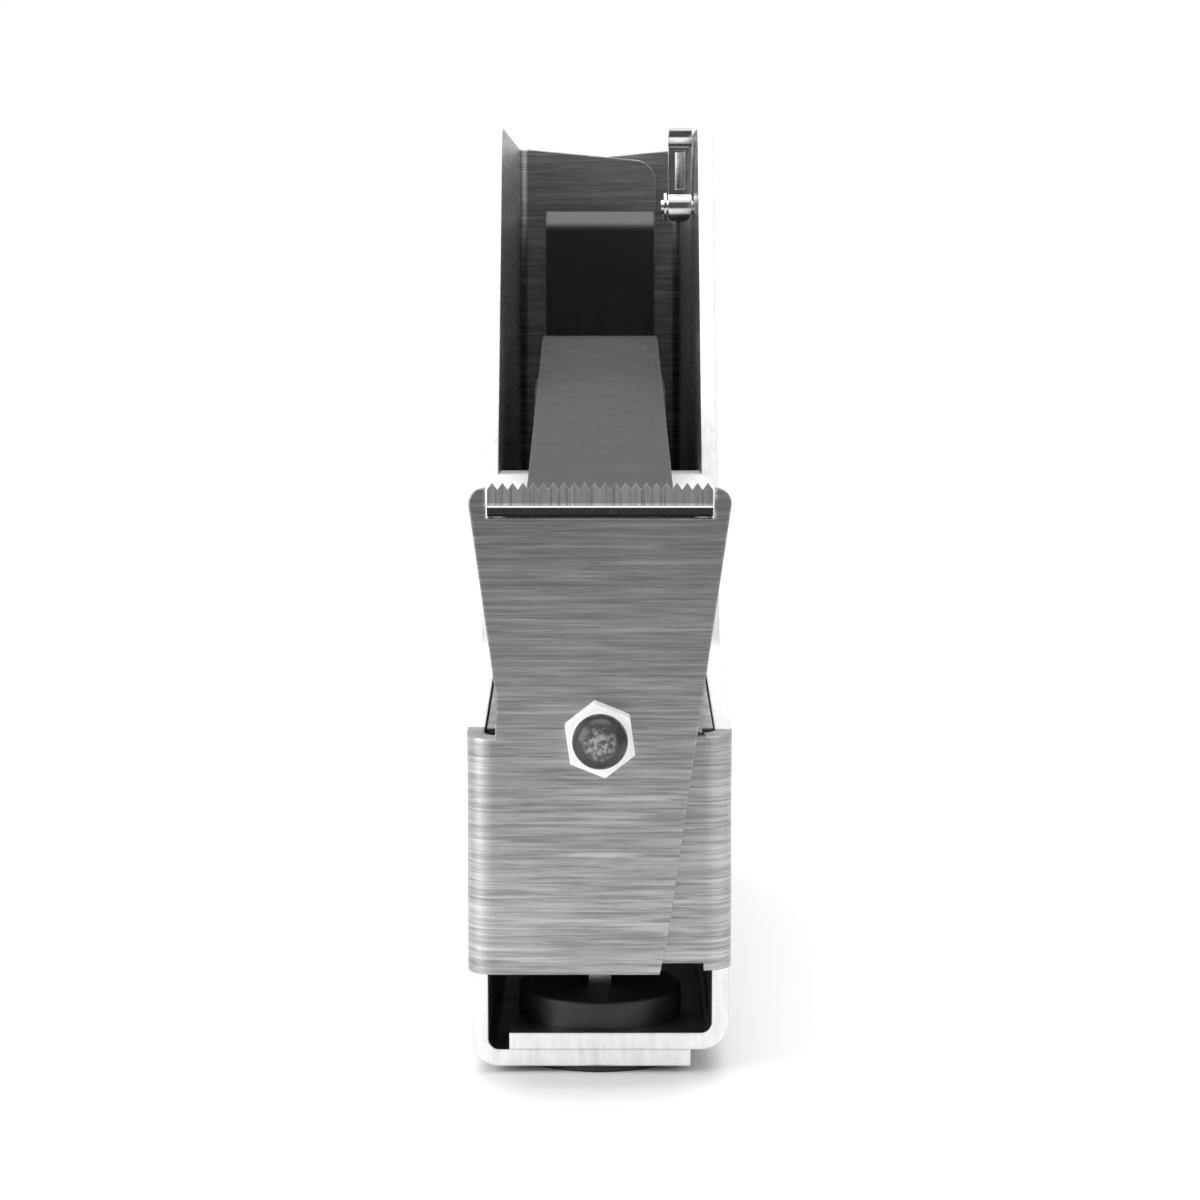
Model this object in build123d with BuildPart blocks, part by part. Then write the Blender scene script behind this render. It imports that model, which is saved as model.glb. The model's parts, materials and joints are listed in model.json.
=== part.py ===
# Hand and bench dispenser for a 25 mm roll of cloth tape: two folded steel shells, overlapped at the
# front, the rear and the bottom, with a blade on a long platen and magnets in the base.
# Millimetres. +X is right, +Y is towards the rear, +Z is up. The origin is under the middle of the base.
import math
import os

from build123d import *

os.makedirs("parts", exist_ok=True)

# Sheet metal shells
sheet = 3.0
bend_outer = 5.0
bend_inner = bend_outer - sheet
body_width = 46.0
body_length = 213.0
front_top = 174.6
rear_top = 180.0
ledge_rear_height = 69.7
ledge_depth = 53.0
top_setback = 94.0
wrap_top = 62.2
window_top = 21.3
window_setback = 14.0
flange_reach = 16.2
flap_bottom = 14.0
flap_reach = 14.0
flap_corner = 5.5
inner_flap_step = 1.3
inner_flap_top = 78.0
inner_flap_top_half = 13.0
rear_slope = 3.0
fit_gap = 0.3

# Tongue that carries the blade
tongue_half_top = 22.7
tongue_half_waist = 17.7
tongue_waist_height = 69.0
tongue_foot_half = 11.5
tongue_foot_height = 26.9
ear_top = 105.3
ear_radius = 2.6
blade_notch_half = 19.6
blade_notch_height = 100.1
notch_taper = 0.1

# Platen and blade
platen_top = 104.8
platen_sheet = 0.8
platen_half = 19.2
platen_flange = 12.5
platen_step_depth = 40.0
platen_end = 84.0
platen_front_flange = 4.4
rivet_depths = (71.0, 79.0)
rivet_height = 98.0
rivet_radius = 1.6
rivet_head_radius = 3.0
rivet_head = 0.9
blade_half = 19.2
blade_back = 1.6
blade_tip_setback = 0.9
blade_edge = 0.35
blade_lip_proud = 0.5
blade_tail_setback = 0.5
blade_lip_height = 102.3
blade_tail_height = 100.5
tooth_count = 22
tooth_root = 105.0
tooth_tip = 106.2

# Roll, core and hub
tape_width = 25.0
tape_thickness = 0.3
roll_radius = 52.0
core_inner = 38.1
core_wall = 2.2
roll_depth = 135.2
roll_height = 80.7
ribbon_end_depth = 1.6
ribbon_flat = 2.2
hub_clearance = 0.05
hub_flange_radius = 42.5
hub_flange = 1.6
hub_wall = 2.2
hub_boss_radius = 8.0
hub_plug = 11.0
window_circle = 23.0
window_radius = 8.0
window_count = 6
spacer_radius = 7.5
side_play = 0.3

# Quarter inch stud hardware
stud_radius = 3.175
stud_clearance = 0.2
running_fit = 0.05
sleeve_radius = 4.4
nut_flats = 11.1
nut_height = 5.2
dome_radius = 4.75
nut_total = 9.2
dome_round = 3.6
low_nut_height = 2.8
low_nut_total = 4.3
low_dome_round = 1.3
nut_turn = 8.0
washer_radius = 7.0
washer_thick = 1.2
bolt_head_height = 3.6
front_bolt_height = 62.8
rear_bolt_height = 60.0

# Deck that closes the top of the front box
deck_sheet = 1.2
deck_flange_bottom = 52.0
deck_end_depth = 50.0
deck_drop = 0.3
deck_notch = 18.0
deck_notch_depth = 14.0

# Feet and magnets
foot_height = 1.2
foot_radius = 17.2
foot_setback = 31.0
magnet_radius = 15.0
magnet_height = 5.0
screw_radius = 2.0
screw_head_radius = 3.8
screw_nut_flats = 7.0
screw_nut_height = 3.2

# Leaf brake behind the roll
leaf_width = 26.4
leaf_sheet = 1.0
leaf_top = 163.5
leaf_foot_top = 70.0
leaf_foot_bottom = 50.0
leaf_lean = 1.5
leaf_lip = 3.5
leaf_bend = 2.5
pad_thick = 2.0
pad_height = 14.0
pad_rise = 4.0

# Thumb lever at the right wall
pivot_depth = 118.0
pivot_height = 160.0
pin_radius = 1.5
clip_radius = 3.0
clip_thick = 0.6
clip_gap = 0.3
lever_width = 5.0
lever_wall_gap = 0.4
lever_leg_half = 2.0
lever_leg_gap = 2.0
lever_round = 2.2
lever_head_radius = 3.3
lever_top = 178.4
lever_hub_radius = 3.2

# Derived places
half_width = body_width / 2
wall_inner = half_width - sheet
flap_edge = half_width - bend_outer
front = -body_length / 2
rear = body_length / 2
roll_y = front + roll_depth
hub_face = tape_width / 2 + hub_clearance
hub_outside = hub_face + hub_flange
spacer_length = wall_inner - hub_outside - side_play
floor_low = foot_height
floor_mid = foot_height + sheet
floor_high = foot_height + 2 * sheet


def at(depth):
    """Y of a depth measured back from the front flap."""
    return front + depth


def finish(piece, label):
    """Label a finished piece and write its STEP file."""
    piece.part.label = label
    export_step(piece.part, f"parts/{label}.step")


def points_at(builder, axis, value):
    """Corners of a sketch that lie at one value along an axis of the sketch."""
    return builder.vertices().filter_by_position(axis, value - 0.01, value + 0.01)


def wall_outline(start, end):
    """Side view of a shell: front box, sloping ledge, leaning front edge and high rear."""
    with BuildSketch(Plane.YZ.offset(-body_width)) as outline:
        with BuildLine():
            Polyline(
                (start, window_top),
                (start, wrap_top),
                (at(ledge_depth), ledge_rear_height),
                (at(top_setback), front_top),
                (end, rear_top),
                (end, flap_bottom),
                (at(window_setback), flap_bottom),
                (at(window_setback), window_top),
                close=True,
            )
        make_face()
        fillet(points_at(outline, Axis.Y, ledge_rear_height), radius=7)
        fillet(points_at(outline, Axis.Y, front_top), radius=4.5)
    return outline.sketch


def folded_wall(side, start, end, floor):
    """One side wall with its two upright bends and its bottom flange. side is -1 for left, 1 for right."""
    keep = (side * (half_width - bend_outer / 2), (start + end) / 2)
    outline = wall_outline(start, end)
    with BuildPart() as wall:
        with BuildSketch(Plane.XY.offset(flap_bottom)):
            with Locations((0, (start + end) / 2)):
                RectangleRounded(body_width, end - start, bend_outer)
                RectangleRounded(
                    body_width - 2 * sheet, end - start - 2 * sheet, bend_inner, mode=Mode.SUBTRACT
                )
            with Locations(keep):
                Rectangle(bend_outer, end - start, mode=Mode.INTERSECT)
        extrude(amount=rear_top)
        extrude(outline, amount=2 * body_width, dir=(1, 0, 0), mode=Mode.INTERSECT)
        with BuildSketch(Plane.XZ.offset(-at(window_setback))):
            with Locations((0, floor + body_width / 2)):
                RectangleRounded(body_width, body_width, bend_outer)
                RectangleRounded(
                    body_width - 2 * sheet, body_width - 2 * sheet, bend_inner, mode=Mode.SUBTRACT
                )
            with Locations((side * half_width, floor)):
                Rectangle(2 * (half_width + flange_reach), 2 * (flap_bottom - floor + 1), mode=Mode.INTERSECT)
        extrude(amount=-(end - bend_outer - fit_gap - at(window_setback)))
        with BuildSketch(Plane.YZ.offset(-body_width)):
            with Locations((roll_y, roll_height)):
                Circle(stud_radius + stud_clearance)
            for depth in rivet_depths:
                with Locations((at(depth), rivet_height)):
                    Circle(rivet_radius)
            if side == 1:
                with Locations((at(pivot_depth), pivot_height)):
                    Circle(pin_radius)
        extrude(amount=2 * body_width, mode=Mode.SUBTRACT)
    return wall.part


def floor_places():
    """Screw places of the two magnets, one near each end."""
    return Locations((0, at(foot_setback)), (0, -at(foot_setback)))


def rear_flap(side, end):
    """Rear flap of a shell. It reaches past the middle and its free top corner is rounded."""
    with BuildSketch(Plane.XZ.offset(-end)) as flap:
        with BuildLine():
            Polyline(
                (side * flap_edge, flap_bottom),
                (-side * flap_reach, flap_bottom),
                (-side * flap_reach, rear_top - rear_slope),
                (side * flap_edge, rear_top),
                close=True,
            )
        make_face()
        fillet(points_at(flap, Axis.X, -side * flap_reach), radius=flap_corner)
    return flap.sketch


def bored_along_y(height, radius, start, end):
    """Round cutter along Y between two places, for the bolts of the front and rear flaps."""
    with BuildPart() as cutter:
        with BuildSketch(Plane.XZ.offset(-start)):
            with Locations((0, height)):
                Circle(radius)
        extrude(amount=-(end - start))
    return cutter.part


def flap_holes():
    """Cutters for the front and rear bolts through both shells."""
    radius = stud_radius + stud_clearance
    front_hole = bored_along_y(front_bolt_height, radius, front - 1, front + 2 * sheet + 1)
    rear_hole = bored_along_y(rear_bolt_height, radius, rear - 2 * sheet - 1, rear + 1)
    return front_hole + rear_hole


def tube(radius_out, radius_in, x_start, x_end):
    """Ring along X around the roll axis."""
    with BuildPart() as ring:
        with BuildSketch(Plane.YZ.offset(x_start)):
            with Locations((roll_y, roll_height)):
                Circle(radius_out)
                if radius_in:
                    Circle(radius_in, mode=Mode.SUBTRACT)
        extrude(amount=x_end - x_start)
    return ring


def cap_nut(plane, turn, hex_high=nut_height, total=nut_total, rounding=dome_round):
    """Hexagon cap nut whose seat lies on the plane and whose dome points along the plane's normal."""
    with BuildPart() as nut:
        with BuildSketch(plane):
            RegularPolygon(nut_flats / 2, 6, major_radius=False, rotation=turn)
        extrude(amount=hex_high)
        with BuildSketch(plane.offset(hex_high)):
            Circle(dome_radius)
        extrude(amount=total - hex_high)
        fillet(nut.faces().sort_by(Axis(plane.origin, plane.z_dir))[-1].edges(), radius=rounding)
        with BuildSketch(plane):
            Circle(stud_radius)
        extrude(amount=hex_high, mode=Mode.SUBTRACT)
    return nut


def washer(plane):
    """Plain washer seated on the plane."""
    with BuildPart() as ring:
        with BuildSketch(plane):
            Circle(washer_radius)
            Circle(stud_radius + stud_clearance, mode=Mode.SUBTRACT)
        extrude(amount=washer_thick)
    return ring


def hex_bolt(plane, grip):
    """Bolt whose hexagon head is seated on the plane and whose shank runs back along the normal."""
    with BuildPart() as bolt:
        with BuildSketch(plane):
            RegularPolygon(nut_flats / 2, 6, major_radius=False)
        extrude(amount=bolt_head_height)
        with BuildSketch(plane):
            Circle(stud_radius)
        extrude(amount=-grip)
    return bolt


# Left shell: outer front flap with the tongue, inner rear flap, lower bottom flange
left_end = rear - sheet
left_wall = folded_wall(-1, front, left_end, floor_low)
left_rear_flap = rear_flap(-1, left_end - sheet)
bolt_holes = flap_holes()
with BuildPart() as left_shell:
    add(left_wall)
    with BuildSketch(Plane.XZ.offset(-front)) as tongue:
        with BuildLine():
            Polyline(
                (-flap_edge, window_top),
                (tongue_foot_half - 1.2, window_top),
                (tongue_foot_half, tongue_foot_height),
                (tongue_half_top, ear_top),
                (blade_notch_half, ear_top),
                (blade_notch_half - notch_taper, blade_notch_height),
                (notch_taper - blade_notch_half, blade_notch_height),
                (-blade_notch_half, ear_top),
                (-tongue_half_top, ear_top),
                (-tongue_half_waist, tongue_waist_height),
                (-flap_edge, wrap_top),
                close=True,
            )
        make_face()
        ears = points_at(tongue, Axis.Y, ear_top).sort_by(Axis.X)
        fillet([ears[0], ears[-1]], radius=ear_radius)
        fillet(points_at(tongue, Axis.Y, tongue_waist_height), radius=10)
        fillet(points_at(tongue, Axis.Y, tongue_foot_height), radius=4)
    extrude(amount=-sheet)
    extrude(left_rear_flap, amount=sheet, dir=(0, 1, 0))
    add(bolt_holes, mode=Mode.SUBTRACT)
    with floor_places():
        Cylinder(screw_radius + stud_clearance, 4 * floor_high, mode=Mode.SUBTRACT)
finish(left_shell, "left_shell")

# Right shell: inner front flap, outer rear flap, upper bottom flange
right_start = front + sheet
right_wall = folded_wall(1, right_start, rear, floor_mid)
right_rear_flap = rear_flap(1, rear - sheet)
with BuildPart() as right_shell:
    add(right_wall)
    with BuildSketch(Plane.XZ.offset(-right_start)) as inner_flap:
        with BuildLine():
            Polyline(
                (flap_edge, window_top + inner_flap_step),
                (-flap_reach, window_top + inner_flap_step),
                (-flap_reach, inner_flap_top),
                (inner_flap_top_half, inner_flap_top),
                (inner_flap_top_half + 2, wrap_top),
                (flap_edge, wrap_top),
                close=True,
            )
        make_face()
        fillet(points_at(inner_flap, Axis.X, -flap_reach), radius=flap_corner)
    extrude(amount=-sheet)
    extrude(right_rear_flap, amount=sheet, dir=(0, 1, 0))
    add(bolt_holes, mode=Mode.SUBTRACT)
    with floor_places():
        Cylinder(screw_radius + stud_clearance, 4 * floor_high, mode=Mode.SUBTRACT)
finish(right_shell, "right_shell")

# Deck: a bent plate between the walls that closes the top of the front box
deck_front = front + 2 * sheet
deck_slope = (ledge_rear_height - wrap_top) / ledge_depth
deck_near = wrap_top - deck_drop + 2 * sheet * deck_slope
deck_far = wrap_top - deck_drop + deck_end_depth * deck_slope
with BuildPart() as deck_plate:
    with BuildSketch(Plane.YZ.offset(fit_gap - wall_inner)):
        with BuildLine():
            Polyline(
                (deck_front, deck_flange_bottom),
                (deck_front, deck_near),
                (at(deck_end_depth), deck_far),
                (at(deck_end_depth), deck_far - deck_sheet),
                (deck_front + deck_sheet, deck_near - deck_sheet),
                (deck_front + deck_sheet, deck_flange_bottom),
                close=True,
            )
        make_face()
    extrude(amount=2 * (wall_inner - fit_gap))
    with Locations((0, deck_front, front_bolt_height)):
        Box(deck_notch, 2 * deck_notch_depth, 4 * washer_radius, mode=Mode.SUBTRACT)
    with Locations((wall_inner, deck_front, wrap_top), (-wall_inner, deck_front, wrap_top)):
        corner = 2 * (bend_inner + fit_gap)
        Box(corner, corner, body_width, mode=Mode.SUBTRACT)
finish(deck_plate, "deck_plate")


def platen_plan(half_front, half_rear, start, end):
    """Plan of the platen: narrow at the tongue's notch, stepped out to the walls behind it."""
    with BuildSketch(Plane.XY.offset(platen_top - platen_flange)) as plan:
        with BuildLine():
            Polyline(
                (-half_front, start),
                (half_front, start),
                (half_front, at(platen_step_depth)),
                (half_rear, at(platen_step_depth + 4)),
                (half_rear, end),
                (-half_rear, end),
                (-half_rear, at(platen_step_depth + 4)),
                (-half_front, at(platen_step_depth)),
                close=True,
            )
        make_face()
    return plan.sketch


# Platen: inverted channel between the tongue and the walls, on which the tape lies before the cut
platen_front = front + blade_back
outer_plan = platen_plan(platen_half, wall_inner, platen_front, at(platen_end))
inner_plan = platen_plan(
    platen_half - platen_sheet, wall_inner - platen_sheet, platen_front + platen_sheet, at(platen_end) + 1
)
with BuildPart() as platen:
    extrude(outer_plan, amount=platen_flange, dir=(0, 0, 1))
    extrude(inner_plan, amount=platen_flange - platen_sheet, dir=(0, 0, 1), mode=Mode.SUBTRACT)
    with Locations((0, platen_front, platen_top - platen_flange)):
        relief = 2 * (platen_flange - platen_front_flange)
        Box(2 * platen_half, 4 * platen_sheet, relief, mode=Mode.SUBTRACT)
    with BuildSketch(Plane.YZ.offset(-body_width)):
        for depth in rivet_depths:
            with Locations((at(depth), rivet_height)):
                Circle(rivet_radius)
    extrude(amount=2 * body_width, mode=Mode.SUBTRACT)
finish(platen, "platen")

# Blade: ground bar in the notch of the tongue, with a row of teeth along its top edge
pitch = 2 * blade_half / tooth_count
with BuildPart() as blade:
    with BuildSketch(Plane.YZ.offset(-blade_half)):
        with BuildLine():
            Polyline(
                (front + blade_tip_setback, tooth_tip),
                (front - blade_lip_proud, blade_lip_height),
                (front + blade_tail_setback, blade_tail_height),
                (platen_front, blade_tail_height),
                (platen_front, tooth_root - 0.4),
                (front + blade_tip_setback + blade_edge, tooth_tip),
                close=True,
            )
        make_face()
    extrude(amount=2 * blade_half)
    with BuildSketch(Plane.XZ.offset(-(platen_front + 1))):
        with Locations((0, tooth_tip)):
            with GridLocations(pitch, 0, tooth_count + 1, 1):
                Polygon((-pitch / 2, 0), (0, tooth_root - tooth_tip), (pitch / 2, 0), align=None)
    extrude(amount=2 * platen_front - 2 * front + 4, mode=Mode.SUBTRACT)
finish(blade, "blade")

# Rivets that hold the platen between the walls
with BuildPart() as platen_rivets:
    for side in (-1, 1):
        for depth in rivet_depths:
            inside = side * (wall_inner - platen_sheet)
            with BuildSketch(Plane.YZ.offset(inside)):
                with Locations((at(depth), rivet_height)):
                    Circle(rivet_radius)
            extrude(amount=side * (sheet + platen_sheet))
            with BuildSketch(Plane.YZ.offset(side * half_width)):
                with Locations((at(depth), rivet_height)):
                    Circle(rivet_head_radius)
            extrude(amount=side * rivet_head)
finish(platen_rivets, "platen_rivets")

# Front and rear bolts with their washers and cap nuts
leaf_seat = rear - 2 * sheet
front_seat = Plane(origin=(0, front + 2 * sheet, front_bolt_height), x_dir=(1, 0, 0), z_dir=(0, 1, 0))
rear_seat = Plane(origin=(0, leaf_seat - leaf_sheet, rear_bolt_height), x_dir=(1, 0, 0), z_dir=(0, -1, 0))
front_nut_seat = Plane(origin=(0, front, front_bolt_height), x_dir=(1, 0, 0), z_dir=(0, -1, 0))
rear_nut_seat = Plane(origin=(0, rear, rear_bolt_height), x_dir=(1, 0, 0), z_dir=(0, 1, 0))
front_washer = washer(front_seat)
finish(front_washer, "front_washer")
front_bolt = hex_bolt(front_seat.offset(washer_thick), washer_thick + 2 * sheet + nut_height)
finish(front_bolt, "front_bolt")
front_cap_nut = cap_nut(front_nut_seat, nut_turn + 30)
finish(front_cap_nut, "front_cap_nut")
rear_washer = washer(rear_seat)
finish(rear_washer, "rear_washer")
rear_bolt = hex_bolt(rear_seat.offset(washer_thick), washer_thick + leaf_sheet + 2 * sheet + nut_height)
finish(rear_bolt, "rear_bolt")
rear_cap_nut = cap_nut(rear_nut_seat, 30)
finish(rear_cap_nut, "rear_cap_nut")

# Spindle: a stud across both walls, with a sleeve that the hub turns on
spindle = tube(stud_radius, 0, -half_width - low_nut_height, half_width + low_nut_height)
finish(spindle, "spindle")
sleeve = tube(sleeve_radius, stud_radius + stud_clearance, -wall_inner, wall_inner)
finish(sleeve, "sleeve")
for side, word in ((-1, "left"), (1, "right")):
    nut_seat = Plane(origin=(side * half_width, roll_y, roll_height), x_dir=(0, 1, 0), z_dir=(side, 0, 0))
    spindle_nut = cap_nut(nut_seat, 0, low_nut_height, low_nut_total, low_dome_round)
    finish(spindle_nut, f"{word}_spindle_nut")
    spacer_ends = sorted((side * (wall_inner - spacer_length), side * wall_inner))
    spacer = tube(spacer_radius, sleeve_radius + hub_clearance, *spacer_ends)
    finish(spacer, f"{word}_spacer")

# Hub halves: spoked flange, plug inside the core and a boss that meets its twin in the middle
for side, word in ((-1, "left"), (1, "right")):
    flange_ends = sorted((side * hub_face, side * hub_outside))
    plug_ends = sorted((side * (hub_face - hub_plug), side * hub_face))
    boss_ends = sorted((0, side * hub_face))
    hub_disc = tube(hub_flange_radius, sleeve_radius + running_fit, *flange_ends)
    hub_ring = tube(core_inner - hub_clearance, core_inner - hub_clearance - hub_wall, *plug_ends)
    hub_boss = tube(hub_boss_radius, sleeve_radius + running_fit, *boss_ends)
    with BuildPart() as hub_half:
        add(hub_disc.part)
        add(hub_ring.part)
        add(hub_boss.part)
        with BuildSketch(Plane.YZ.offset(flange_ends[0])):
            with Locations((roll_y, roll_height)):
                with PolarLocations(window_circle, window_count):
                    Circle(window_radius)
        extrude(amount=hub_flange, mode=Mode.SUBTRACT)
    finish(hub_half, f"{word}_hub")

# Core and wound tape
core_outer = core_inner + core_wall
tape_core = tube(core_outer, core_inner, -tape_width / 2, tape_width / 2)
finish(tape_core, "tape_core")
tape_roll = tube(roll_radius, core_outer, -tape_width / 2, tape_width / 2)
finish(tape_roll, "tape_roll")

# Ribbon: flat on the platen behind the teeth, then straight to the roll's tangent point
lift_y = at(ribbon_end_depth + ribbon_flat)
reach = math.hypot(roll_y - lift_y, roll_height - platen_top)
wound = roll_radius + fit_gap
ribbon_angle = math.atan2(roll_height - platen_top, roll_y - lift_y) + math.asin(wound / reach)
ribbon_run = math.sqrt(reach**2 - wound**2)
tangent_y = lift_y + ribbon_run * math.cos(ribbon_angle)
tangent_z = platen_top + ribbon_run * math.sin(ribbon_angle)
across_y = -tape_thickness * math.sin(ribbon_angle)
across_z = tape_thickness * math.cos(ribbon_angle)
with BuildPart() as tape_ribbon:
    with BuildSketch(Plane.YZ.offset(-tape_width / 2)):
        with BuildLine():
            Polyline(
                (at(ribbon_end_depth), platen_top),
                (lift_y, platen_top),
                (tangent_y, tangent_z),
                (tangent_y + across_y, tangent_z + across_z),
                (lift_y - tape_thickness * math.tan(ribbon_angle / 2), platen_top + tape_thickness),
                (at(ribbon_end_depth), platen_top + tape_thickness),
                close=True,
            )
        make_face()
    extrude(amount=tape_width)
finish(tape_ribbon, "tape_ribbon")

# Leaf brake: a bent spring clamped by the rear bolt, with a felt pad at the roll
pad_face = roll_y + roll_radius + fit_gap
leaf_face = pad_face + pad_thick + leaf_sheet / 2
foot_line = leaf_seat - leaf_sheet / 2
leaf_hole = bored_along_y(rear_bolt_height, stud_radius + stud_clearance, leaf_seat - 2 * leaf_sheet, rear)
with BuildPart() as brake_leaf:
    with BuildSketch(Plane.YZ.offset(-leaf_width / 2)):
        with BuildLine():
            FilletPolyline(
                (foot_line, leaf_foot_bottom),
                (foot_line, leaf_foot_top),
                (leaf_face, leaf_foot_top + 8),
                (leaf_face, roll_height + pad_height),
                (leaf_face + leaf_lean, leaf_top - leaf_lip),
                (leaf_face + leaf_lean + leaf_lip, leaf_top),
                radius=leaf_bend,
            )
        trace(line_width=leaf_sheet)
    extrude(amount=leaf_width)
    add(leaf_hole, mode=Mode.SUBTRACT)
finish(brake_leaf, "brake_leaf")
with BuildPart() as brake_pad:
    with Locations((0, pad_face + pad_thick / 2, roll_height + pad_rise)):
        Box(tape_width, pad_thick, pad_height)
finish(brake_pad, "brake_pad")

# Thumb lever on a pin in the right wall
pivot_y = at(pivot_depth)
lever_outside = wall_inner - lever_wall_gap
lever_inside = lever_outside - lever_width
head_height = lever_top - lever_head_radius
with BuildPart() as lever_pin:
    with BuildSketch(Plane.YZ.offset(lever_inside - clip_gap - 2 * clip_thick)):
        with Locations((pivot_y, pivot_height)):
            Circle(pin_radius)
    extrude(amount=half_width - lever_inside + clip_gap + 2 * clip_thick)
finish(lever_pin, "lever_pin")
with BuildPart() as lever_clip:
    with BuildSketch(Plane.YZ.offset(lever_inside - clip_gap - clip_thick)):
        with Locations((pivot_y, pivot_height)):
            Circle(clip_radius)
            Circle(pin_radius, mode=Mode.SUBTRACT)
    extrude(amount=clip_thick)
finish(lever_clip, "lever_clip")
with BuildPart() as thumb_lever:
    with BuildSketch(Plane.YZ.offset(lever_inside)):
        with Locations((pivot_y, pivot_height)):
            Circle(lever_hub_radius)
        with Locations((pivot_y, head_height)):
            Circle(lever_head_radius)
        with Locations((pivot_y, (pivot_height + head_height) / 2)):
            Rectangle(2 * lever_leg_half, head_height - pivot_height)
    extrude(amount=lever_width)
    lever_high = lever_top - pivot_height + lever_hub_radius
    with BuildSketch(Plane.XZ.offset(-(pivot_y + lever_high))):
        with Locations((lever_inside + lever_width / 2, lever_top - lever_high / 2)):
            RectangleRounded(lever_width, lever_high, lever_round)
    extrude(amount=2 * lever_high, mode=Mode.INTERSECT)
    with BuildSketch(Plane.YZ.offset(lever_inside)):
        with Locations((pivot_y, pivot_height)):
            Circle(pin_radius + running_fit)
    extrude(amount=lever_width, mode=Mode.SUBTRACT)
    leg_gap_low = pivot_height + lever_hub_radius + 0.5
    leg_gap_high = head_height - lever_head_radius
    with Locations((lever_inside + lever_width / 2, pivot_y, (leg_gap_low + leg_gap_high) / 2)):
        Box(lever_leg_gap, 4 * lever_leg_half, leg_gap_high - leg_gap_low, mode=Mode.SUBTRACT)
finish(thumb_lever, "thumb_lever")

# Feet, magnets and the screws that clamp them to both bottom flanges
magnet_top = floor_high + magnet_height
for place, word in ((at(foot_setback), "front"), (-at(foot_setback), "rear")):
    with BuildPart() as foot:
        with BuildSketch():
            with Locations((0, place)):
                Circle(foot_radius)
                Circle(screw_head_radius + fit_gap, mode=Mode.SUBTRACT)
        extrude(amount=foot_height)
        chamfer(foot.faces().sort_by(Axis.Z)[0].edges(), length=0.3)
    finish(foot, f"{word}_foot")
    with BuildPart() as magnet:
        with BuildSketch(Plane.XY.offset(floor_high)):
            with Locations((0, place)):
                Circle(magnet_radius)
                Circle(screw_radius + stud_clearance, mode=Mode.SUBTRACT)
        extrude(amount=magnet_height)
        fillet(magnet.faces().sort_by(Axis.Z)[-1].edges(), radius=0.5)
    finish(magnet, f"{word}_magnet")
with BuildPart() as magnet_screws:
    with BuildSketch(Plane.XY.offset(fit_gap)):
        with floor_places():
            Circle(screw_head_radius)
    extrude(amount=foot_height - fit_gap)
    with BuildSketch(Plane.XY.offset(foot_height)):
        with floor_places():
            Circle(screw_radius)
    extrude(amount=magnet_top + screw_nut_height + 0.5 - foot_height)
finish(magnet_screws, "magnet_screws")
with BuildPart() as magnet_nuts:
    with BuildSketch(Plane.XY.offset(magnet_top)):
        with floor_places():
            RegularPolygon(screw_nut_flats / 2, 6, major_radius=False)
            Circle(screw_radius, mode=Mode.SUBTRACT)
    extrude(amount=screw_nut_height)
finish(magnet_nuts, "magnet_nuts")
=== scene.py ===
import json
import math

import bpy
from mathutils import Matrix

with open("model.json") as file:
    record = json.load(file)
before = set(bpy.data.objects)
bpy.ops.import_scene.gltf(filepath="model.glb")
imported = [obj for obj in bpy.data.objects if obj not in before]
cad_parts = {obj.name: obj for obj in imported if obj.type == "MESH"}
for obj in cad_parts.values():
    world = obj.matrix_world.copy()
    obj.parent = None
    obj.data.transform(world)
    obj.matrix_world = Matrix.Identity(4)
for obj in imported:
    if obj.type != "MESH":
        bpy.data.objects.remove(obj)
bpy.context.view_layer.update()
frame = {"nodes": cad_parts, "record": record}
nodes = frame["nodes"]

scene = bpy.context.scene
scene.view_settings.view_transform = "Standard"
scene.view_settings.look = "None"
scene.view_settings.exposure = 0.0
scene.view_settings.gamma = 1.0

MM = 0.001
ROLL_Y = 28.7 * MM
ROLL_Z = 80.7 * MM
FRONT = -106.5 * MM


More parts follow.
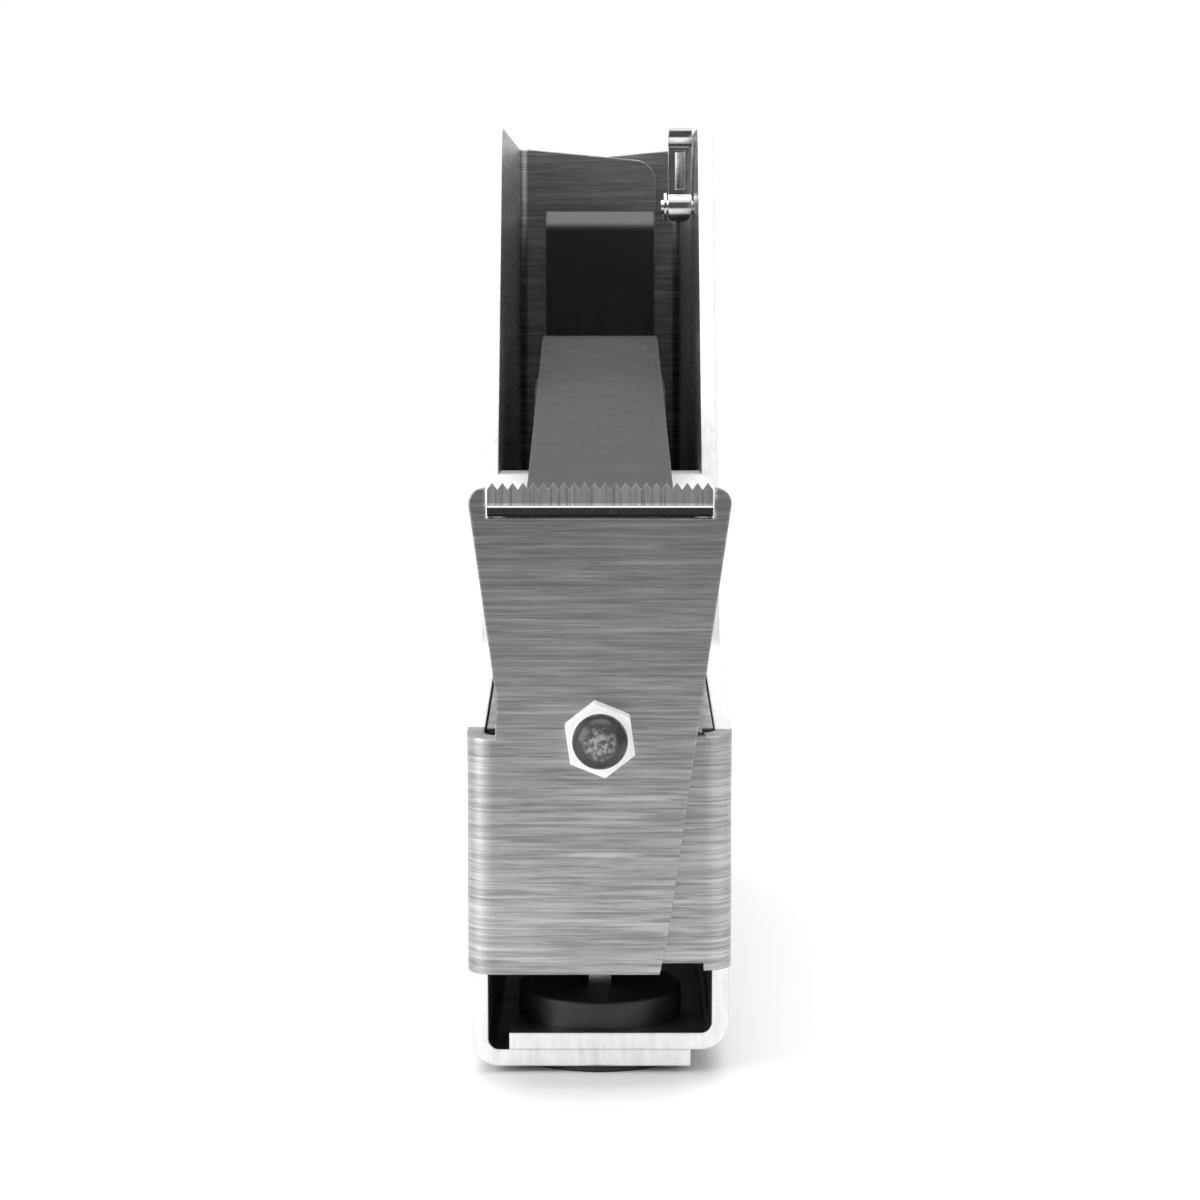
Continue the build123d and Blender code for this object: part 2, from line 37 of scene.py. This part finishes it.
class Look:
    """A Principled material with helpers that add grain, wear and relief in the row frame."""

    def __init__(self, name, base, metallic=0.0, roughness=0.5, edge=0.0):
        self.material = bpy.data.materials.new(name)
        self.material.use_nodes = True
        self.tree = self.material.node_tree
        self.shader = self.tree.nodes["Principled BSDF"]
        self.shader.inputs["Base Color"].default_value = (*base, 1.0)
        self.shader.inputs["Metallic"].default_value = metallic
        self.shader.inputs["Roughness"].default_value = roughness
        self.coords = self.add("ShaderNodeTexCoord").outputs["Object"]
        self.color = None
        self.base = base
        self.normal = None
        if edge:
            bevel = self.add("ShaderNodeBevel")
            bevel.samples = 4
            bevel.inputs["Radius"].default_value = edge
            self.normal = bevel.outputs["Normal"]
            self.link(self.normal, self.shader.inputs["Normal"])

    def add(self, kind):
        return self.tree.nodes.new(kind)

    def link(self, source, target):
        self.tree.links.new(source, target)

    def noise(self, scale, tilt=(0.0, 0.0, 0.0), detail=3.0, rough=0.6):
        """Noise with its own scale along each axis, per metre."""
        mapping = self.add("ShaderNodeMapping")
        mapping.inputs["Scale"].default_value = scale
        mapping.inputs["Rotation"].default_value = tilt
        self.link(self.coords, mapping.inputs["Vector"])
        texture = self.add("ShaderNodeTexNoise")
        texture.inputs["Scale"].default_value = 1.0
        texture.inputs["Detail"].default_value = detail
        texture.inputs["Roughness"].default_value = rough
        self.link(mapping.outputs["Vector"], texture.inputs["Vector"])
        return texture.outputs["Fac"]

    def remap(self, value, low, high, to_low, to_high):
        node = self.add("ShaderNodeMapRange")
        node.inputs["From Min"].default_value = low
        node.inputs["From Max"].default_value = high
        node.inputs["To Min"].default_value = to_low
        node.inputs["To Max"].default_value = to_high
        self.link(value, node.inputs["Value"])
        return node.outputs["Result"]

    def math(self, operation, a, b):
        node = self.add("ShaderNodeMath")
        node.operation = operation
        for value, socket in ((a, node.inputs[0]), (b, node.inputs[1])):
            if isinstance(value, (int, float)):
                socket.default_value = value
            else:
                self.link(value, socket)
        return node.outputs["Value"]

    def axis(self, name):
        """One coordinate of the row frame, in metres."""
        node = self.add("ShaderNodeSeparateXYZ")
        self.link(self.coords, node.inputs["Vector"])
        return node.outputs[name]

    def tint(self, factor, color):
        """Mixes the base colour towards another colour."""
        mix = self.add("ShaderNodeMix")
        mix.data_type = "RGBA"
        self.link(factor, mix.inputs["Factor"])
        if self.color is None:
            mix.inputs["A"].default_value = (*self.base, 1.0)
        else:
            self.link(self.color, mix.inputs["A"])
        mix.inputs["B"].default_value = (*color, 1.0)
        self.color = mix.outputs["Result"]
        self.link(self.color, self.shader.inputs["Base Color"])

    def roughen(self, value, low, high):
        self.link(self.remap(value, 0.25, 0.75, low, high), self.shader.inputs["Roughness"])

    def relief(self, value, distance, strength=1.0):
        bump = self.add("ShaderNodeBump")
        bump.inputs["Distance"].default_value = distance
        bump.inputs["Strength"].default_value = strength
        self.link(value, bump.inputs["Height"])
        if self.normal is not None:
            self.link(self.normal, bump.inputs["Normal"])
        self.normal = bump.outputs["Normal"]
        self.link(self.normal, self.shader.inputs["Normal"])


def steel_look():
    """Brushed stainless sheet: short horizontal grain, handling marks, and near-white edges that are partly the paler
    matte cut edge and partly painted highlight, with a painted highlight on the lower front rim.
    """
    look = Look("brushed_steel", (0.46, 0.46, 0.455), 1.0, 0.34, 0.5 * MM)
    tilt = (0.0, math.radians(-1.5), 0.0)
    fine = look.noise((70.0, 70.0, 2600.0), tilt, 4.0, 0.75)
    streak = look.noise((45.0, 45.0, 1300.0), tilt, 3.0, 0.6)
    broad = look.noise((14.0, 14.0, 500.0), tilt, 3.0, 0.6)
    cloud = look.noise((30.0, 30.0, 30.0), (0.0, 0.0, 0.0), 3.0, 0.5)
    look.tint(look.remap(fine, 0.34, 0.62, 0.0, 0.75), (0.16, 0.16, 0.16))
    look.tint(look.remap(streak, 0.50, 0.68, 0.0, 0.55), (0.66, 0.66, 0.65))
    look.tint(look.remap(broad, 0.48, 0.75, 0.0, 0.30), (0.20, 0.20, 0.20))
    look.tint(look.remap(cloud, 0.55, 0.80, 0.0, 0.20), (0.24, 0.24, 0.23))
    marks = look.noise((60.0, 60.0, 700.0), (0.0, math.radians(-14.0), 0.0), 2.0, 0.4)
    look.tint(look.remap(marks, 0.71, 0.74, 0.0, 0.30), (0.75, 0.75, 0.74))
    geometry = look.add("ShaderNodeNewGeometry")
    facing = look.add("ShaderNodeSeparateXYZ")
    look.link(geometry.outputs["True Normal"], facing.inputs["Vector"])
    side = look.math("ABSOLUTE", look.axis("X"), 0.0)
    plain_side = look.math("ABSOLUTE", facing.outputs["X"], 0.0)
    # Side-plate edges painted near-white and less metallic: partly the paler matte cut edge, partly a painted
    # highlight where the edges catch the light
    pale_lit_wall_edge = look.math("MULTIPLY", look.math("GREATER_THAN", side, 19.9 * MM), look.math("LESS_THAN", plain_side, 0.3))
    pale_lit_wall_edge = look.math("MULTIPLY", pale_lit_wall_edge, look.math("GREATER_THAN", look.axis("Y"), FRONT + 8.0 * MM))
    # Front faces below 15 mm painted near-white as a painted highlight on the lower rim
    rim_highlight = look.math("MULTIPLY", look.math("LESS_THAN", look.axis("Z"), 15.0 * MM), look.math("LESS_THAN", facing.outputs["Y"], -0.8))
    pale_cut_and_highlight = look.math("MAXIMUM", pale_lit_wall_edge, rim_highlight)
    edge_grain = look.noise((900.0, 900.0, 160.0), (0.0, 0.0, 0.0), 3.0, 0.6)
    pale_cut_and_highlight = look.math("MULTIPLY", pale_cut_and_highlight, look.remap(edge_grain, 0.35, 0.7, 1.0, 0.78))
    look.tint(pale_cut_and_highlight, (0.97, 0.97, 0.96))
    look.link(look.remap(pale_cut_and_highlight, 0.0, 1.0, 1.0, 0.15), look.shader.inputs["Metallic"])
    look.roughen(look.math("ADD", look.math("MULTIPLY", fine, 0.6), look.math("MULTIPLY", cloud, 0.4)), 0.26, 0.44)
    look.relief(fine, 0.012 * MM, 0.5)
    return look.material


def chrome_look(name="chrome", base=(0.80, 0.80, 0.80), rough=0.12):
    """Bright plated steel with fine turning marks and a little haze."""
    look = Look(name, base, 1.0, rough, 0.2 * MM)
    haze = look.noise((260.0, 260.0, 260.0))
    fine = look.noise((2600.0, 400.0, 2600.0))
    look.tint(look.remap(haze, 0.5, 0.8, 0.0, 0.35), (0.5, 0.5, 0.49))
    look.roughen(haze, rough * 0.7, rough * 1.8)
    look.relief(fine, 0.004 * MM, 0.5)
    return look.material


def cap_nut_look():
    """Hexagon painted pale as a painted highlight, and the dome painted near-black as a painted reflection of the
    dark surroundings, with a speckled middle.
    """
    # The pale, barely metallic base colour is a painted highlight on the hexagon
    look = Look("cap_nut", (0.98, 0.98, 0.97), 0.10, 0.30, 0.25 * MM)
    grain = look.noise((900.0, 900.0, 900.0))
    look.tint(look.remap(grain, 0.5, 0.8, 0.0, 0.18), (0.72, 0.72, 0.7))
    # Near-black tint in front of the hexagon: painted reflection of the dark surroundings in the dome
    dark_dome_reflection = look.remap(look.axis("Y"), FRONT - 5.6 * MM, FRONT - 5.3 * MM, 1.0, 0.0)
    look.tint(dark_dome_reflection, (0.018, 0.018, 0.018))
    speck = look.noise((1500.0, 1500.0, 1500.0), (0.0, 0.0, 0.0), 2.0, 0.5)
    crown = look.remap(look.axis("Y"), FRONT - 9.2 * MM, FRONT - 8.6 * MM, 1.0, 0.0)
    look.tint(look.math("MULTIPLY", crown, look.remap(speck, 0.45, 0.6, 0.2, 1.0)), (0.30, 0.30, 0.30))
    look.roughen(grain, 0.22, 0.4)
    return look.material


def blade_look():
    """Ground cutter: fine grind lines from the teeth to the lip, with a painted highlight along the lip and painted
    shadow below it.
    """
    look = Look("blade", (0.60, 0.60, 0.59), 1.0, 0.28, 0.1 * MM)
    lines = look.noise((3800.0, 60.0, 60.0), (0.0, 0.0, 0.0), 3.0, 0.6)
    look.tint(look.remap(lines, 0.4, 0.7, 0.0, 0.5), (0.30, 0.30, 0.30))
    # Band from 102.0 to 102.7 mm painted near-white as a painted highlight on the lip
    lip_highlight = look.remap(look.axis("Z"), 102.7 * MM, 102.8 * MM, 1.0, 0.0)
    look.tint(lip_highlight, (0.98, 0.98, 0.97))
    # Below 102.0 mm painted near-black as painted shadow under the blade
    underside_shadow = look.remap(look.axis("Z"), 102.0 * MM, 102.1 * MM, 1.0, 0.0)
    look.tint(underside_shadow, (0.025, 0.025, 0.025))
    look.roughen(lines, 0.2, 0.4)
    look.relief(lines, 0.01 * MM, 0.6)
    return look.material


def tape_look():
    """Woven cloth tape, with its wound layers on the flanks of the roll."""
    look = Look("cloth_tape", (0.034, 0.034, 0.034), 0.0, 0.42)
    look.shader.inputs["Specular IOR Level"].default_value = 0.22
    across = look.add("ShaderNodeTexWave")
    across.bands_direction = "X"
    across.inputs["Scale"].default_value = 210.0
    across.inputs["Distortion"].default_value = 0.4
    look.link(look.coords, across.inputs["Vector"])
    along = look.add("ShaderNodeTexWave")
    along.bands_direction = "Y"
    along.inputs["Scale"].default_value = 210.0
    along.inputs["Distortion"].default_value = 0.4
    look.link(look.coords, along.inputs["Vector"])
    weave = look.math("ADD", across.outputs["Fac"], along.outputs["Fac"])
    y = look.math("SUBTRACT", look.axis("Y"), ROLL_Y)
    z = look.math("SUBTRACT", look.axis("Z"), ROLL_Z)
    radius = look.math("SQRT", look.math("ADD", look.math("MULTIPLY", y, y), look.math("MULTIPLY", z, z)), 0.0)
    layers = look.math("SINE", look.math("MULTIPLY", radius, 2.0 * math.pi / (0.6 * MM)), 0.0)
    side = look.math("ABSOLUTE", look.axis("X"), 0.0)
    flank = look.math("GREATER_THAN", side, 12.4 * MM)
    look.tint(look.math("MULTIPLY", flank, look.remap(layers, -1.0, 1.0, 0.0, 0.6)), (0.16, 0.16, 0.15))
    dust = look.noise((160.0, 160.0, 160.0))
    look.tint(look.remap(dust, 0.5, 0.85, 0.0, 0.5), (0.075, 0.075, 0.075))
    look.roughen(dust, 0.40, 0.6)
    look.relief(weave, 0.05 * MM, 0.5)
    return look.material


def plain_look(name, base, metallic, low, high, scale, relief, worn):
    """Painted, moulded or pressed surface with fine grain and faint wear."""
    look = Look(name, base, metallic, low, 0.2 * MM if metallic or low < 0.5 else 0.0)
    grain = look.noise((scale, scale, scale))
    wear = look.noise((70.0, 70.0, 70.0), (0.3, 0.1, 0.0), 4.0, 0.7)
    look.tint(look.remap(wear, 0.52, 0.82, 0.0, 0.6), worn)
    look.roughen(grain, low, high)
    look.relief(grain, relief * MM, 0.5)
    return look.material


looks = {
    "steel": steel_look(),
    "chrome": chrome_look(),
    "platen_paint": plain_look("platen_paint", (0.86, 0.86, 0.84), 0.0, 0.3, 0.45, 700.0, 0.01, (0.7, 0.7, 0.68)),
    "black_steel": plain_look("black_steel", (0.014, 0.014, 0.014), 0.0, 0.28, 0.45, 900.0, 0.01, (0.05, 0.05, 0.05)),
    "tape": tape_look(),
    "core": plain_look("core", (0.42, 0.31, 0.19), 0.0, 0.75, 0.9, 500.0, 0.05, (0.5, 0.4, 0.28)),
    "hub": plain_look("hub", (0.035, 0.035, 0.035), 0.0, 0.5, 0.65, 800.0, 0.03, (0.08, 0.08, 0.08)),
    "rubber": plain_look("rubber", (0.012, 0.012, 0.012), 0.0, 0.6, 0.8, 900.0, 0.04, (0.03, 0.03, 0.03)),
    "magnet": plain_look("magnet", (0.015, 0.015, 0.015), 0.0, 0.4, 0.6, 900.0, 0.03, (0.04, 0.04, 0.04)),
    "felt": plain_look("felt", (0.06, 0.06, 0.06), 0.0, 0.85, 0.95, 1500.0, 0.15, (0.12, 0.12, 0.12)),
    "brass": plain_look("brass", (0.62, 0.48, 0.22), 1.0, 0.25, 0.4, 700.0, 0.01, (0.4, 0.3, 0.15)),
}
slot_of = {piece["node"]: piece["material_slot"] for piece in frame["record"]["subparts"]}
for name, piece in nodes.items():
    look = looks[slot_of[name]]
    if name == "front_cap_nut":
        look = cap_nut_look()
    if name == "blade":
        look = blade_look()
    for slot in piece.material_slots:
        slot.material = look

# Studio: pale floor that runs out to white, soft boxes and a dark flat in front of the object
floor_mesh = bpy.data.meshes.new("floor")
reach = 12.0
floor_mesh.from_pydata(
    [(-reach, -reach, 0.0), (reach, -reach, 0.0), (reach, reach, 0.0), (-reach, reach, 0.0)], [], [(0, 1, 2, 3)]
)
floor = bpy.data.objects.new("floor", floor_mesh)
scene.collection.objects.link(floor)
floor_look = Look("floor", (0.90, 0.90, 0.90), 0.0, 0.6)
distance = floor_look.add("ShaderNodeVectorMath")
distance.operation = "LENGTH"
floor_look.link(floor_look.coords, distance.inputs[0])
glow = floor_look.add("ShaderNodeEmission")
glow.inputs["Strength"].default_value = 1.0
blend = floor_look.add("ShaderNodeMixShader")
floor_look.link(floor_look.remap(distance.outputs["Value"], 0.20, 0.60, 0.0, 1.0), blend.inputs["Fac"])
floor_look.link(floor_look.shader.outputs["BSDF"], blend.inputs[1])
floor_look.link(glow.outputs["Emission"], blend.inputs[2])
floor_look.link(blend.outputs["Shader"], floor_look.tree.nodes["Material Output"].inputs["Surface"])
floor_mesh.materials.append(floor_look.material)


def flat(name, place, turn, size, level):
    """Matt flat that shapes the reflections. The camera does not see it."""
    mesh = bpy.data.meshes.new(name)
    x, y = size[0] / 2, size[1] / 2
    mesh.from_pydata([(-x, -y, 0.0), (x, -y, 0.0), (x, y, 0.0), (-x, y, 0.0)], [], [(0, 1, 2, 3)])
    piece = bpy.data.objects.new(name, mesh)
    scene.collection.objects.link(piece)
    piece.location = place
    piece.rotation_euler = turn
    look = Look(name, (level, level, level), 0.0, 0.9)
    mesh.materials.append(look.material)
    piece.visible_camera = False
    piece.visible_shadow = False
    return piece


flat("front_flat", (0.0, -0.62, 0.30), (math.radians(90), 0.0, 0.0), (0.52, 0.60), 0.03)
flat("right_flat", (0.75, -0.10, 0.35), (0.0, math.radians(90), 0.0), (0.7, 1.0), 0.30)


def soft_box(name, place, aim, size, power):
    """Square area light aimed at a point."""
    data = bpy.data.lights.new(name, "AREA")
    data.shape = "RECTANGLE"
    data.size = size[0]
    data.size_y = size[1]
    data.energy = power
    lamp = bpy.data.objects.new(name, data)
    scene.collection.objects.link(lamp)
    lamp.location = place
    direction = [a - b for a, b in zip(aim, place)]
    length = math.sqrt(sum(d * d for d in direction))
    pitch = math.acos(-direction[2] / length)
    lamp.rotation_euler = (pitch, 0.0, math.atan2(direction[1], direction[0]) - math.pi / 2)
    return lamp


soft_box("overhead", (0.0, 0.1, 1.3), (0.0, 0.0, 0.1), (1.4, 1.4), 16.0)
soft_box("left_box", (-1.1, -0.5, 0.5), (0.0, 0.0, 0.1), (0.7, 1.0), 12.0)
soft_box("right_box", (1.1, -0.4, 0.5), (0.0, 0.0, 0.1), (0.5, 1.0), 5.0)

world = bpy.data.worlds.new("studio")
scene.world = world
world.use_nodes = True
tree = world.node_tree
tree.nodes.clear()
path = tree.nodes.new("ShaderNodeLightPath")
first = tree.nodes.new("ShaderNodeMath")
first.operation = "MAXIMUM"
tree.links.new(path.outputs["Is Camera Ray"], first.inputs[0])
tree.links.new(path.outputs["Is Glossy Ray"], first.inputs[1])
second = tree.nodes.new("ShaderNodeMath")
second.operation = "MAXIMUM"
tree.links.new(first.outputs["Value"], second.inputs[0])
tree.links.new(path.outputs["Is Transmission Ray"], second.inputs[1])
fill = tree.nodes.new("ShaderNodeBackground")
fill.inputs["Color"].default_value = (1.0, 1.0, 1.0, 1.0)
fill.inputs["Strength"].default_value = 0.80
white = tree.nodes.new("ShaderNodeBackground")
white.inputs["Color"].default_value = (1.0, 1.0, 1.0, 1.0)
white.inputs["Strength"].default_value = 1.0
mix = tree.nodes.new("ShaderNodeMixShader")
tree.links.new(second.outputs["Value"], mix.inputs["Fac"])
tree.links.new(fill.outputs["Background"], mix.inputs[1])
tree.links.new(white.outputs["Background"], mix.inputs[2])
output = tree.nodes.new("ShaderNodeOutputWorld")
tree.links.new(mix.outputs["Shader"], output.inputs["Surface"])

# Camera: low, straight on, slightly above the blade
camera_data = bpy.data.cameras.new("camera")
camera_data.lens = 73.7
camera_data.sensor_width = 36.0
camera = bpy.data.objects.new("camera", camera_data)
scene.collection.objects.link(camera)
camera.location = (0.0, -0.5225, 0.1256)
camera.rotation_euler = (math.radians(90.0 - 5.4), 0.0, 0.0)
scene.camera = camera
